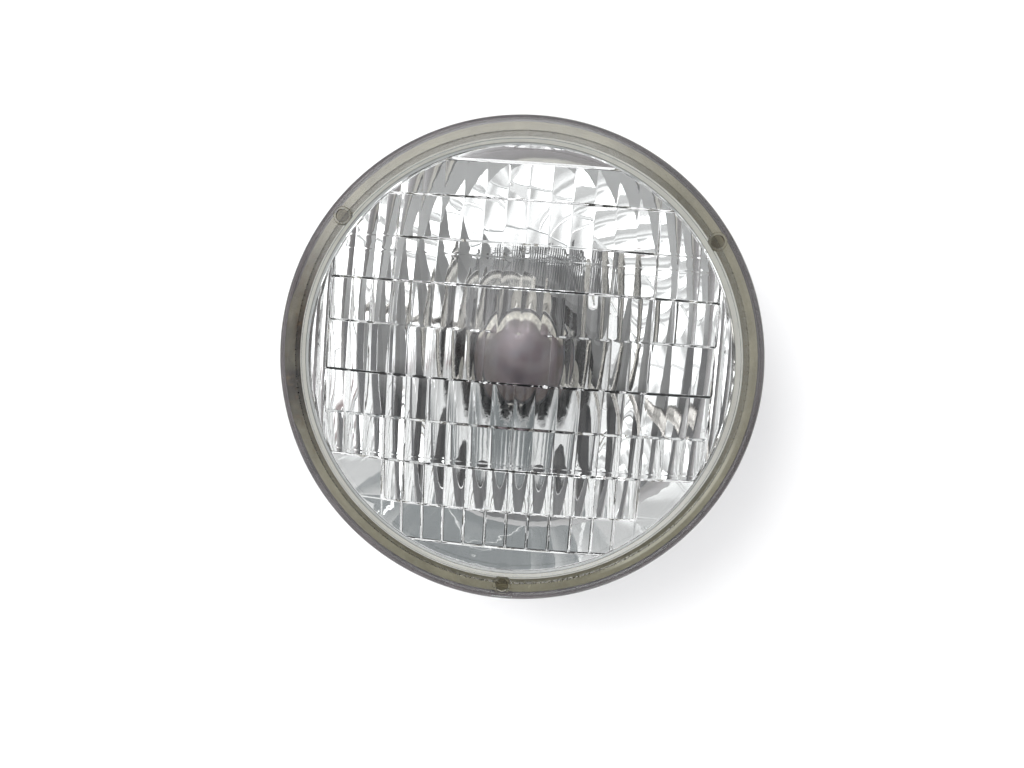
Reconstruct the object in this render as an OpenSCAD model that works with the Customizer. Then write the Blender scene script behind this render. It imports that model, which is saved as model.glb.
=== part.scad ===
// Round sealed-beam motorcycle headlight, 146 mm, all glass.
// +Z is the optical axis (the lens looks up), +Y is the top of the lamp.
// The origin is on the axis, in the rear seating face of the rim.

/* [Rim] */
// Outer diameter of the lamp's rim
lamp_d = 146; // [140:1:152]
// Thickness of the reflector's rim flange
seat_t = 4.5; // [4:0.25:6]
// Thickness of the lens's rim flange
lens_rim_t = 4.2; // [3.5:0.1:6]
// Thickness of the adhesive film between the two flanges
film_t = 0.4; // [0.2:0.1:0.8]
// Rounding of the outer glass edges
edge_r = 1.1; // [0.6:0.1:1.5]
// Width of the rim, from the foot of the lens step to the outer edge
rim_w = 7.2; // [6:0.2:9]

/* [Adhesive joint] */
// Width of the groove in the reflector's rim
groove_w = 3.2; // [2.4:0.1:3.6]
// Depth of that groove
groove_depth = 2; // [1.2:0.1:2.6]
// Adhesive thickness round the lens's tongue
bond_gap = 0.4; // [0.2:0.1:0.6]
// Angle at which the squeezed-out adhesive starts
squeeze_from = 165; // [150:1:170]
// Angle over which it reaches the outer edge
squeeze_sweep = 38; // [10:1:60]

/* [Lens dome] */
// Radius of the domed outer face
dome_r = 182; // [160:1:240]
// Height of the step between rim and dome
step_h = 2; // [1.2:0.1:3]
// Slope at the foot of the step
step_fillet = 0.7; // [0.4:0.1:1.1]
// Glass thickness at the crown, up to the flutes' tops
glass_t = 3.4; // [3:0.1:5]
// How much thicker the glass is beside the flutes
smooth_drop = 2.8; // [2.6:0.1:3.4]
// Wall of the lens's skirt inside the step
skirt_w = 2.6; // [2:0.1:4]

/* [Flutes] */
// Width of one flute
flute_w = 6.35; // [5:0.05:7]
// Radius of the flutes in the rows
flute_r = 6.6; // [5.5:0.1:12]
// Height of one row of flutes
row_h = 12.8; // [11:0.1:13.4]
// Height of the middle row
mid_row_h = 14.6; // [12:0.1:16]
// Height of the top row
top_row_h = 11; // [8:0.1:12]
// Centre of the middle row above the axis
mid_row_y = 1.25; // [0:0.05:2]
// Lean of the step between two rows, per unit of height
row_lean = 0.2; // [0.2:0.05:0.35]
// Width of the narrow flutes at the sides
side_flute_w = 3.2; // [2.4:0.1:4]
// Radius of the narrow flutes
side_flute_r = 3.4; // [3:0.1:6]
// Depth of the thin ribs in the bottom panel
rib_depth = 0.5; // [0.3:0.1:0.8]
// Width of those ribs
rib_w = 0.6; // [0.4:0.1:1]

/* [Aiming bosses] */
// Diameter of each boss
boss_d = 5.6; // [4:0.1:7]
// Height of each boss over the rim
boss_h = 1.6; // [1:0.1:2.4]
// Distance of each boss's centre from the outer edge
boss_in = 4.8; // [4.7:0.1:5.2]
// Angle of the two upper bosses from the top of the lamp
boss_angle = 54.6; // [40:0.1:60]

/* [Reflector] */
// Focal length of the bowl
focal = 22.9; // [21:0.1:27]
// Glass thickness of the bowl
bowl_t = 3.6; // [3:0.1:4.4]
// Diameter of the pad round each ferrule
pad_d = 17; // [15:0.5:18]
// Height of the pads behind the bowl's vertex
pad_h = 3.4; // [2.5:0.1:5]
// Width of the three locating lugs behind the rim
lug_w = 9; // [6:0.5:12]
// Height of those lugs along the axis
lug_h = 5; // [3:0.5:7]

/* [Ferrules and terminals] */
// Radius at which the ferrules stand
ferrule_at = 15; // [14:0.1:16]
// Diameter of a ferrule
ferrule_d = 11; // [9:0.1:12]
// Sheet thickness of the ferrules
ferrule_t = 0.6; // [0.4:0.05:0.8]
// Height of a ferrule from its closed end
ferrule_h = 5.5; // [4:0.1:6]
// Width of a terminal blade
blade_w = 7.8; // [6:0.1:8]
// Thickness of a terminal blade
blade_t = 0.8; // [0.6:0.05:1.2]
// Length of a blade behind its foot
blade_l = 14; // [10:0.5:18]
// Distance of each blade from its ferrule's centre
blade_in = 4.6; // [3.5:0.1:5]
// Diameter of the soldered joints
solder_d = 5.2; // [4:0.1:6]
// Height of the soldered joints
solder_h = 1.8; // [1:0.1:2.5]

/* [Inside] */
// Diameter of the lead-in posts
post_d = 2; // [1.5:0.1:2.4]
// Length of the filament coils
coil_l = 6; // [4:0.1:7]
// Diameter of the filament coils
coil_d = 1.6; // [1.2:0.1:2]
// Diameter of the filament wire
wire_d = 0.26; // [0.2:0.02:0.36]
// Distance of the low-beam filament above the high-beam one
low_up = 3.4; // [2.6:0.1:5]
// Diameter of the filament shield
shield_d = 30; // [20:0.5:32]
// Sheet thickness of the shield
shield_t = 0.5; // [0.4:0.05:0.8]
// Depth of the shield's turned rim
shield_rim = 3; // [2:0.1:4]
// Distance of the shield in front of the focus
shield_up = 12; // [9:0.5:14]
// Radius of the shield's domed face
shield_dome_r = 60; // [40:1:90]
// Diameter of the shield's arm
arm_d = 1.4; // [1:0.1:1.8]
// Diameter of the exhaust tip
tip_d = 6; // [4.5:0.1:7]
// Length of the exhaust tip behind the bowl
tip_l = 7; // [5:0.1:9]

/* [Hidden] */
$fn = 96;
fit_gap = 0.05;

// Overrun of cuts and of what is merged
over = 1;

// Rim, from the outside inwards
groove_out = 0.2;
dome_in = 0.4;
bowl_out = 0.3;
lamp_r = lamp_d / 2;
step_r = lamp_r - rim_w;
groove_r0 = step_r + groove_out;
groove_r1 = groove_r0 + groove_w;
open_r = step_r - skirt_w;
seat_z1 = seat_t;
lens_z0 = seat_z1 + film_t;
lens_z1 = lens_z0 + lens_rim_t;
step_z = lens_z1 + step_h;

// Dome: its edge stands on the step, its centre lies far below
dome_edge_r = step_r - dome_in;
dome_rise = dome_r - sqrt(pow(dome_r, 2) - pow(dome_edge_r, 2));
crown_z = step_z + dome_rise;
dome_cz = crown_z - dome_r;
inner_r = dome_r - glass_t;

// Rows of flutes: upper edges, from the top row down
mid_top = mid_row_y + mid_row_h / 2;
mid_bottom = mid_row_y - mid_row_h / 2;
row_edges = [
    mid_top + 3 * row_h + top_row_h,
    mid_top + 3 * row_h,
    mid_top + 2 * row_h,
    mid_top + row_h,
    mid_top,
    mid_bottom,
    mid_bottom - row_h,
    mid_bottom - 2 * row_h,
    mid_bottom - 3 * row_h
];
// Extra tilt of each row, the prism that bends the beam down
row_prism = [5, 3, 4, 3, 2, 3, 3, 4];
block_cols = 6;
side_cols = 3;
block_x = block_cols * flute_w;
side_x = (block_cols + side_cols) * flute_w;

// Bowl: parabola with its vertex on the axis
bowl_open_r = open_r + bowl_out;
vertex_z = seat_z1 - pow(bowl_open_r, 2) / (4 * focal);
focus_z = vertex_z + focal;
bowl_steps = 36;
back_z = vertex_z - bowl_t;
pad_z = back_z - pad_h;

// Places of the ferrules round the axis: name order top, left, right
top_a = 90;
left_a = 210;
right_a = 330;

// Cavity and rows
smooth_r = inner_r - smooth_drop;
comb_lap = 1;
wall_stagger = 0.15;
under_run = 1;
cavity_down = 40;
top_cols = 8;
frame_cols = 3;
frame_x = frame_cols * flute_w;
frame_sink = 0.7;
mid_cols = 5;
panel_x = 1.5 * flute_w;
panel_r = 50;
mid_sink = 0.45;
mid_flute_w = (block_x - panel_x) / mid_cols;
side_prism = 3;
// How far each row of the side blocks lies behind the inner block
side_sinks = [0, 0.7, 0, 0.35, 0.6, 0.2, 0.2, 0];
tall_prism = 2;
side_flutes = 2;
side_reach = 30;
narrow_sink = 0;
rib_cols = 5;
panel_margin = 7.2;
panel_end_y = panel_margin - open_r;
step_round = 1;

// Small features
boss_wall = 0.8;
dimple_depth = 0.5;
boss_angles = [90 - boss_angle, 90 + boss_angle, 270];
notch_w = 6.4;
notch_depth = 0.6;
lug_out = 4.5;
lug_in = 6;
lug_turn = 60;
tip_bore = 2;
foot_d = 9;
bend_r = 0.8;
blade_chamfer = 1.2;
blade_run = blade_l - bend_r;
solder_tip = 1;
solder_cap = 0.4;
filament_leg = 2;
post_x = coil_l / 2 + filament_leg;
top_post_drop = 9;
post_drop = 8;
post_lead = 3;
bar_over = 1.5;
coil_turns = 10;
turn_steps = 14;
wire_sides = 6;
arm_down = 18;
arm_bend = 6;
bend_swell = 1.05;
squeeze_to = squeeze_from + squeeze_sweep;

// Inside
post_r = post_d / 2;
shield_z = focus_z + shield_up;
shield_r = shield_d / 2;

// Helpers

// Rectangle in the right half plane with its four corners rounded
module round_rect(x0, z0, x1, z1, r) {
    translate([x0 + r, z0]) square([x1 - x0 - 2 * r, z1 - z0]);
    translate([x0, z0 + r]) square([x1 - x0, z1 - z0 - 2 * r]);
    for (x = [x0 + r, x1 - r], z = [z0 + r, z1 - r])
        translate([x, z]) circle(r = r, $fn = 32);
}

// Turns a child about the axis so that its +X side looks at angle a
module at_angle(a) {
    rotate([0, 0, a]) children();
}

// Round rod through the points, a little swollen at the bends
module rod(points, d) {
    for (i = [0 : len(points) - 2]) {
        run = points[i + 1] - points[i];
        long = norm(run);
        translate(points[i])
            rotate([0, acos(run[2] / long), atan2(run[1], run[0])])
                cylinder(d = d, h = long, $fn = 32);
    }
    for (i = [1 : 1 : len(points) - 2])
        translate(points[i]) sphere(d = bend_swell * d, $fn = 32);
}

// Height of the smooth inner dome over the point (x, y)
function inner_z(x, y) = dome_cz + sqrt(pow(inner_r, 2) - x * x - y * y);
// Inner slope of the dome at the height y
function dome_tilt(y) = asin(y / inner_r);

// Lens

// Profile of one row of the cavity at the dome's height y.
// Its scallops meet in ridges under the dome's curve.
module comb(x0, count, w, r, y, reach) {
    depth = r - sqrt(r * r - w * w / 4);
    ridges = [for (i = [0 : count]) inner_z(x0 + w * i, y) - inner_z(0, y) - depth];
    low = min(ridges) - comb_lap;
    intersection() {
        translate([x0 - reach, -cavity_down]) square([w * count + 2 * reach, cavity_down + r]);
        union() {
            translate([x0 - 2 * w, -cavity_down]) square([w * (count + 4), cavity_down + low]);
            for (i = [0 : count - 1]) {
                chord = [w, ridges[i + 1] - ridges[i]];
                up = [-chord[1], chord[0]] / norm(chord);
                middle = [x0 + w * (i + 0.5), (ridges[i] + ridges[i + 1]) / 2];
                translate(middle - up * sqrt(r * r - pow(norm(chord) / 2, 2))) circle(r = r, $fn = 64);
            }
        }
    }
}

// One row of the cavity between heights y0 and y1, tilted with the dome and by its prism.
// It reaches a little past its flutes at both sides.
module row(y0, y1, x0, count, w = flute_w, r = flute_r, prism = 0, sink = 0, reach = 0) {
    mid = (y0 + y1) / 2;
    intersection() {
        translate([0, mid, inner_z(0, mid) - sink])
            rotate([90 - dome_tilt(mid) + prism, 0, 0])
                linear_extrude(height = 2 * (y1 - y0), center = true)
                    comb(x0, count, w, r, mid, reach);
        rotate([90, 0, 90])
            linear_extrude(height = 2 * lamp_d, center = true)
                polygon([
                    [y0 - row_lean * crown_z, 0],
                    [y1 - row_lean * crown_z, 0],
                    [y1, crown_z],
                    [y0, crown_z]
                ]);
    }
}

// The same stretch of flutes at the left and at the right
module row_pair(y0, y1, x0, count, w = flute_w, r = flute_r, prism = 0, sink = 0, reach = 0) {
    row(y0, y1, x0, count, w, r, prism, sink, reach);
    row(y0, y1, -x0 - w * count, count, w, r, prism, sink, reach);
}

// Every row of flutes, as the space that they leave in the glass.
// A block that lies deeper in the glass runs on under its higher neighbour.
module flutes() {
    // Top row, past the edge of the face at both sides
    row(row_edges[1], row_edges[0], -top_cols * flute_w, 2 * top_cols, prism = row_prism[0]);
    // Second row
    row(row_edges[2], row_edges[1], -block_x, 2 * block_cols, prism = row_prism[1], reach = wall_stagger);
    // Third row, with a framed block in its middle
    row_pair(row_edges[3], row_edges[2], frame_x, block_cols - frame_cols, prism = row_prism[2]);
    row(row_edges[3], row_edges[2], -frame_x, 2 * frame_cols, sink = frame_sink, reach = under_run);
    // Rows with side blocks: the fourth, sixth and seventh
    for (i = [3, 5, 6]) {
        row(row_edges[i + 1], row_edges[i], -block_x, 2 * block_cols,
            prism = row_prism[i], reach = wall_stagger * (i % 2));
        row_pair(row_edges[i + 1], row_edges[i], block_x, side_cols,
            prism = side_prism, sink = side_sinks[i], reach = under_run);
    }
    // Middle row: smooth panel with flutes at both sides
    row(mid_bottom, mid_top, -panel_x, 1,
        w = 2 * panel_x, r = panel_r, prism = row_prism[4], sink = mid_sink, reach = under_run);
    row_pair(mid_bottom, mid_top, panel_x, mid_cols,
        w = mid_flute_w, prism = row_prism[4], sink = mid_sink);
    row_pair(mid_bottom, mid_top, block_x, side_cols,
        prism = side_prism, sink = side_sinks[4], reach = under_run);
    // Bottom row
    row(row_edges[8], row_edges[7], -block_x, 2 * block_cols, prism = row_prism[7], reach = wall_stagger);
    // Tall flutes beside the second and third rows
    row_pair(row_edges[3], row_edges[1], block_x, side_cols,
        prism = tall_prism, sink = side_sinks[1], reach = under_run);
    // Narrow unbroken flutes at the sides
    row_pair(-side_reach, side_reach, side_x, side_flutes,
        w = side_flute_w, r = side_flute_r, sink = narrow_sink);
}

// Thin grooves of the bottom panel, in line with the flutes' edges
module bottom_ribs() {
    long = row_edges[8] - panel_end_y;
    intersection() {
        translate([0, 0, dome_cz]) sphere(r = smooth_r + rib_depth, $fn = 256);
        union() {
            for (i = [-rib_cols : rib_cols])
                translate([i * flute_w - rib_w / 2, panel_end_y, 0]) cube([rib_w, long, crown_z]);
            translate([-rib_cols * flute_w, panel_end_y - rib_w, 0])
                cube([2 * rib_cols * flute_w, rib_w, crown_z]);
        }
    }
}

// Section of the solid glass, right of the axis
module lens_section() {
    corner_x = step_r - step_round;
    corner_z = dome_cz + sqrt(pow(dome_r - step_round, 2) - pow(corner_x, 2));
    intersection() {
        translate([0, dome_cz]) circle(r = dome_r, $fn = 256);
        translate([0, lens_z0]) square([corner_x, crown_z]);
    }
    translate([0, lens_z0]) square([step_r, corner_z - lens_z0]);
    translate([corner_x, corner_z]) circle(r = step_round, $fn = 32);
    translate([0, lens_z0]) square([lamp_r - 2 * edge_r, lens_rim_t]);
    round_rect(step_r, lens_z0, lamp_r, lens_z1, edge_r);
    // Slope at the foot of the step
    polygon([
        [step_r - over, lens_z1 - over],
        [step_r + step_fillet, lens_z1 - over],
        [step_r + step_fillet, lens_z1],
        [step_r, lens_z1 + step_fillet],
        [step_r - over, lens_z1 + step_fillet]
    ]);
    // Tongue in the groove
    translate([groove_r0 + bond_gap, seat_z1 - groove_depth + bond_gap])
        square([groove_w - 2 * bond_gap, groove_depth + film_t]);
}

// Aiming bosses on the rim, each with a shallow dimple
module boss() {
    difference() {
        cylinder(d = boss_d, h = boss_h + lens_rim_t / 2);
        translate([0, 0, boss_h + lens_rim_t / 2 - dimple_depth])
            cylinder(d = boss_d - 2 * boss_wall, h = dimple_depth + over);
    }
}

module lens() {
    color([0.80, 0.86, 0.88, 0.45])
        difference() {
            union() {
                rotate_extrude($fn = 128) lens_section();
                for (a = boss_angles)
                    at_angle(a) translate([lamp_r - boss_in, 0, lens_z1 - lens_rim_t / 2]) boss();
            }
            intersection() {
                translate([0, 0, -lamp_r]) cylinder(r = open_r, h = lamp_r + crown_z);
                union() {
                    translate([0, 0, dome_cz]) sphere(r = smooth_r, $fn = 256);
                    flutes();
                    bottom_ribs();
                }
            }
            // Index notch in the edge, at the bottom of the lamp
            translate([-notch_w / 2, -lamp_r - over, lens_z1 - notch_depth])
                cube([notch_w, over + rim_w / 2, 2 * notch_depth]);
        }
}

// Adhesive

module adhesive() {
    color([0.46, 0.43, 0.31]) {
        difference() {
            rotate_extrude($fn = 128)
                translate([groove_r0, seat_z1 - groove_depth])
                    square([groove_w, groove_depth + film_t]);
            rotate_extrude($fn = 128)
                translate([groove_r0 + bond_gap, seat_z1 - groove_depth + bond_gap])
                    square([groove_w - 2 * bond_gap, groove_depth + film_t]);
        }
        // Squeezed out to the edge at the left
        intersection() {
            rotate_extrude($fn = 128)
                translate([groove_r1 - bond_gap, seat_z1])
                    square([lamp_r - edge_r - groove_r1 + bond_gap, film_t]);
            linear_extrude(height = 2 * seat_z1)
                polygon([
                    [0, 0],
                    2 * lamp_r * [cos(squeeze_from), sin(squeeze_from)],
                    2 * lamp_r * [cos(squeeze_to), sin(squeeze_to)]
                ]);
        }
    }
}

// Reflector

function bowl_z(r) = vertex_z + r * r / (4 * focal);
// Point of the bowl's back, one wall behind the mirror at radius r
function bowl_back(r) =
    let (slope = r / (2 * focal), n = sqrt(1 + slope * slope))
        [r + bowl_t * slope / n, bowl_z(r) - bowl_t / n];

module reflector() {
    inner = [for (i = [0 : bowl_steps]) let (r = bowl_open_r * i / bowl_steps) [r, bowl_z(r)]];
    outer = [for (i = [bowl_steps : -1 : 0]) bowl_back(bowl_open_r * i / bowl_steps)];
    color([0.78, 0.79, 0.80])
        difference() {
            union() {
                rotate_extrude($fn = 128) {
                    polygon(concat(inner, outer));
                    translate([bowl_open_r, 0]) square([lamp_r - 2 * edge_r - bowl_open_r, seat_t]);
                    round_rect(bowl_open_r + 2, 0, lamp_r, seat_t, edge_r);
                }
                for (a = [top_a, left_a, right_a]) {
                    at_angle(a) translate([ferrule_at, 0, pad_z])
                        cylinder(d = pad_d, h = bowl_z(ferrule_at) - over - pad_z);
                    at_angle(a + lug_turn) locating_lug();
                }
            }
            for (a = [top_a, left_a, right_a])
                at_angle(a) translate([ferrule_at, 0, pad_z - over])
                    cylinder(d = ferrule_d + 2 * fit_gap, h = pad_h + bowl_t + 2 * ferrule_h);
            // Groove for the lens's tongue
            rotate_extrude($fn = 128)
                translate([groove_r0, seat_z1 - groove_depth]) square([groove_w, groove_depth + over]);
            // Bore for the exhaust tip
            translate([0, 0, back_z - over]) cylinder(d = tip_bore, h = 2 * bowl_t);
        }
}

// Lug behind the rim that finds the notch of a mounting ring
module locating_lug() {
    intersection() {
        translate([bowl_open_r - lug_w, -lug_w / 2, -lug_h])
            cube([lug_w + lug_out, lug_w, lug_h + seat_t / 2]);
        rotate_extrude($fn = 128)
            polygon([
                [bowl_open_r - lug_in, -lug_h],
                [bowl_open_r + lug_out, -lug_h],
                [bowl_open_r + lug_out, seat_t / 2],
                [bowl_open_r + over, seat_t / 2]
            ]);
    }
}

// Sealed-off end of the exhaust tube, at the back of the bowl
module exhaust_tip() {
    color([0.70, 0.76, 0.76])
        translate([0, 0, back_z - tip_l]) {
            translate([0, 0, tip_d / 2]) cylinder(d = tip_d, h = tip_l - tip_d / 2, $fn = 48);
            translate([0, 0, tip_d / 2]) sphere(d = tip_d, $fn = 48);
        }
}

// Ferrules, terminals and solder

module ferrule(a) {
    color([0.60, 0.58, 0.52])
        at_angle(a) translate([ferrule_at, 0, pad_z])
            difference() {
                cylinder(d = ferrule_d, h = ferrule_h, $fn = 64);
                translate([0, 0, ferrule_t])
                    cylinder(d = ferrule_d - 2 * ferrule_t, h = ferrule_h, $fn = 64);
                translate([0, 0, -over])
                    cylinder(d = post_d + 2 * fit_gap, h = 2 * over + ferrule_t, $fn = 32);
            }
}

// Flat foot under the ferrule, bend, and blade; it faces away from the angle face
module terminal(a, face) {
    bend_x = blade_in - bend_r - blade_t / 2;
    color([0.72, 0.62, 0.36])
        at_angle(a) translate([ferrule_at, 0, pad_z]) rotate([0, 0, face - a])
            difference() {
                union() {
                    translate([0, 0, -blade_t]) cylinder(d = foot_d, h = blade_t, $fn = 48);
                    translate([-bend_x, -blade_w / 2, -blade_t]) cube([bend_x, blade_w, blade_t]);
                    // Quarter bend
                    translate([-bend_x, 0, -blade_t - bend_r]) rotate([90, 0, 0])
                        linear_extrude(height = blade_w, center = true)
                            intersection() {
                                difference() {
                                    circle(r = bend_r + blade_t, $fn = 32);
                                    circle(r = bend_r, $fn = 32);
                                }
                                translate([-2 * bend_r - blade_t, 0]) square(2 * bend_r + blade_t);
                            }
                    // Blade with chamfered corners
                    translate([-blade_in - blade_t / 2, 0, -blade_t - bend_r])
                        rotate([90, 0, 90])
                            linear_extrude(height = blade_t)
                                polygon([
                                    [-blade_w / 2, 0],
                                    [blade_w / 2, 0],
                                    [blade_w / 2, blade_chamfer - blade_run],
                                    [blade_w / 2 - blade_chamfer, -blade_run],
                                    [blade_chamfer - blade_w / 2, -blade_run],
                                    [-blade_w / 2, blade_chamfer - blade_run]
                                ]);
                }
                translate([0, 0, -over - blade_t])
                    cylinder(d = post_d + 2 * fit_gap, h = 2 * over + blade_t, $fn = 32);
            }
}

// Soldered cone over the post's end
module solder(a) {
    color([0.72, 0.73, 0.74])
        at_angle(a) translate([ferrule_at, 0, pad_z - blade_t - solder_h])
            difference() {
                cylinder(d1 = post_d + solder_tip, d2 = solder_d, h = solder_h, $fn = 48);
                translate([0, 0, solder_cap]) cylinder(d = post_d + 2 * fit_gap, h = solder_h, $fn = 32);
            }
}

// Posts, filaments and shield

function ferrule_xy(a) = [ferrule_at * cos(a), ferrule_at * sin(a)];
// Foot of a post, on the cap of its solder
function post_foot(a) =
    [ferrule_xy(a)[0], ferrule_xy(a)[1], pad_z - blade_t - solder_h + solder_cap + fit_gap];

module post(points) {
    color([0.66, 0.64, 0.60]) rod(points, post_d);
}

// Posts at the left that hold a filament's end at the height y
module post_top() {
    foot = post_foot(top_a);
    post([
        foot,
        [foot[0], foot[1], focus_z - top_post_drop],
        [-post_x - post_lead, low_up, focus_z],
        [-post_x, low_up, focus_z]
    ]);
}

module post_left() {
    foot = post_foot(left_a);
    post([
        foot,
        [foot[0], foot[1], focus_z - post_drop],
        [-post_x - post_lead, 0, focus_z],
        [-post_x, 0, focus_z]
    ]);
}

// Common post: its end is a bar across both filaments
module post_right() {
    foot = post_foot(right_a);
    post([
        foot,
        [foot[0], foot[1], focus_z - post_drop],
        [post_x, -bar_over, focus_z],
        [post_x, low_up + bar_over, focus_z]
    ]);
}

// Coil of round wire along X with a straight leg at each end
module filament(y) {
    coil_r = coil_d / 2;
    steps = coil_turns * turn_steps;
    rings = [for (i = [0 : steps])
        let (t = 360 * i / turn_steps, x = coil_l * (i / steps - 0.5))
            [for (j = [0 : wire_sides - 1])
                let (p = 360 * j / wire_sides, rho = coil_r + wire_d / 2 * cos(p))
                    [x + wire_d / 2 * sin(p), rho * cos(t), rho * sin(t)]]];
    points = [for (ring = rings, p = ring) p];
    walls = [for (i = [0 : steps - 1], j = [0 : wire_sides - 1])
        let (a = i * wire_sides + j, b = i * wire_sides + (j + 1) % wire_sides)
            [a, b, b + wire_sides, a + wire_sides]];
    first = [for (j = [wire_sides - 1 : -1 : 0]) j];
    last = [for (j = [0 : wire_sides - 1]) steps * wire_sides + j];
    color([0.30, 0.30, 0.31])
        translate([0, y, focus_z]) {
            polyhedron(points = points, faces = concat([first], walls, [last]), convexity = 10);
            translate([-post_x + fit_gap, coil_r, 0]) rotate([0, 90, 0])
                cylinder(d = wire_d, h = filament_leg - fit_gap, $fn = 16);
            translate([coil_l / 2, coil_r, 0]) rotate([0, 90, 0])
                cylinder(d = wire_d, h = filament_leg - post_r - fit_gap, $fn = 16);
        }
}

module filament_shield() {
    edge_z = shield_z - shield_dome_r + sqrt(pow(shield_dome_r, 2) - pow(shield_r, 2));
    color([0.38, 0.33, 0.35])
        rotate_extrude($fn = 96) {
            intersection() {
                translate([0, shield_z - shield_dome_r])
                    difference() {
                        circle(r = shield_dome_r, $fn = 256);
                        circle(r = shield_dome_r - shield_t, $fn = 256);
                    }
                translate([0, edge_z - shield_rim]) square([shield_r, shield_dome_r]);
            }
            translate([shield_r - shield_t, edge_z - shield_rim]) square([shield_t, shield_rim]);
        }
}

module shield_arm() {
    u = [cos(right_a), sin(right_a)];
    low_r = ferrule_at + post_r + arm_d / 2 + fit_gap;
    high_r = shield_r + arm_d / 2 + fit_gap;
    rim_z = shield_z - shield_rim;
    color([0.62, 0.60, 0.57])
        rod([
            [low_r * u[0], low_r * u[1], focus_z - arm_down],
            [low_r * u[0], low_r * u[1], rim_z - arm_bend],
            [high_r * u[0], high_r * u[1], rim_z - shield_rim],
            [high_r * u[0], high_r * u[1], rim_z + shield_t]
        ], arm_d);
}

lens();
adhesive();
reflector();
exhaust_tip();
ferrule(top_a);  // ferrule_top
ferrule(left_a);  // ferrule_left
ferrule(right_a);  // ferrule_right
terminal(top_a, 90);  // terminal_top
terminal(left_a, 180);  // terminal_left
terminal(right_a, 0);  // terminal_right
solder(top_a);  // solder_top
solder(left_a);  // solder_left
solder(right_a);  // solder_right
post_top();
post_left();
post_right();
filament(low_up);  // filament_low
filament(0);  // filament_high
filament_shield();
shield_arm();
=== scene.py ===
import math

import bmesh
import bpy
from mathutils import Matrix, Vector, noise


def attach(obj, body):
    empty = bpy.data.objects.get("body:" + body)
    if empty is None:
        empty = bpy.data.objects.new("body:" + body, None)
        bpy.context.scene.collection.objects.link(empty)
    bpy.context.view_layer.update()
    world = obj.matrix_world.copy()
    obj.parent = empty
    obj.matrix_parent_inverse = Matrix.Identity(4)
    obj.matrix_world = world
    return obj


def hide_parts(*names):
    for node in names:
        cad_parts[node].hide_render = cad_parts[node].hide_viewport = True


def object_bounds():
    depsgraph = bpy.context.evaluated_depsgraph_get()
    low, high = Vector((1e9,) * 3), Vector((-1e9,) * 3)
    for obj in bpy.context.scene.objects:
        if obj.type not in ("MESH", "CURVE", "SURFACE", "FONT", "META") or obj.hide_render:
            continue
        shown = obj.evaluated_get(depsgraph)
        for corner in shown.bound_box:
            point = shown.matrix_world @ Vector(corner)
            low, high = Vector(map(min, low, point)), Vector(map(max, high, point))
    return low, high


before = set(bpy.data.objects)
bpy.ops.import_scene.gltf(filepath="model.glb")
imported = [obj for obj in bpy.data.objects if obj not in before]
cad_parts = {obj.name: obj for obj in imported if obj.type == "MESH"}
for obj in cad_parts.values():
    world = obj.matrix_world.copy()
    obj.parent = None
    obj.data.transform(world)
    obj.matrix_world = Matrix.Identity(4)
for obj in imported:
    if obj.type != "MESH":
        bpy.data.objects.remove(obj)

cad_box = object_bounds()
MM = 0.001

# Sizes in millimetres, as in the CAD model
LAMP_R = 73.0
EDGE_R = 1.1
SEAT_T = 4.5
FILM_T = 0.4
LENS_Z0 = SEAT_T + FILM_T
LENS_RIM_T = 4.2
LENS_Z1 = LENS_Z0 + LENS_RIM_T
STEP_R = 65.8
STEP_H = 2.0
STEP_Z = LENS_Z1 + STEP_H
STEP_FILLET = 0.7
STEP_ROUND = 1.0
OPEN_R = 63.2
GROOVE_R0, GROOVE_R1 = 66.0, 69.2
GROOVE_DEPTH = 2.0
BOND = 0.4
DOME_R = 182.0
DOME_EDGE = STEP_R - 0.4
CROWN_Z = STEP_Z + DOME_R - math.sqrt(DOME_R**2 - DOME_EDGE**2)
DOME_CZ = CROWN_Z - DOME_R
GLASS_T = 3.4
INNER_R = DOME_R - GLASS_T
SMOOTH_DROP = 2.8
SMOOTH_R = INNER_R - SMOOTH_DROP
FOCAL = 22.9
BOWL_OPEN_R = OPEN_R + 0.3
VERTEX_Z = SEAT_T - BOWL_OPEN_R**2 / (4 * FOCAL)
FOCUS_Z = VERTEX_Z + FOCAL
BOWL_T = 3.6
BACK_Z = VERTEX_Z - BOWL_T
PAD_R, PAD_H = 8.5, 3.4
PAD_Z = BACK_Z - PAD_H
FERRULE_AT = 15.0
FERRULE_ANGLES = (90, 210, 330)
FERRULE_BORE_R, EXHAUST_BORE_R = 5.55, 1.0
LUG_TURN, LUG_W, LUG_Z = 60, 9.0, -5.0
BOSS_R, BOSS_H, BOSS_AT = 2.8, 1.6, 68.2
BOSS_ANGLES = (90 - 54.6, 90 + 54.6, 270)
DIMPLE_DEPTH = 0.5
NOTCH_W, NOTCH_DEPTH, NOTCH_IN = 6.4, 0.6, 69.4
SHIELD_R, SHIELD_T, SHIELD_RIM, SHIELD_DOME, SHIELD_UP = 15.0, 0.5, 3.0, 60.0, 12
# Angles between which the adhesive has run out, and the radius of its film elsewhere
SQUEEZE_FROM, SQUEEZE_TO = 165, 203
FILM_R = 71.2

# Flutes: rows and their edges are counted from the top, and side blocks by the row beside them
FLUTE_W = 6.35
TOP_ROW_H, ROW_H = 11, 12.8
MID_TOP, MID_BOTTOM = 8.55, -6.05
EDGES = [MID_TOP + 3 * ROW_H + TOP_ROW_H] + [MID_TOP + k * ROW_H for k in (3, 2, 1, 0)]
EDGES += [MID_BOTTOM - k * ROW_H for k in range(4)]
ROW_R = [26, 26, 22, 12, 12, 8, 5.4, 5.4]
SIDE_R = [0, 20, 20, 16, 24, 26, 7.6, 0]
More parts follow.
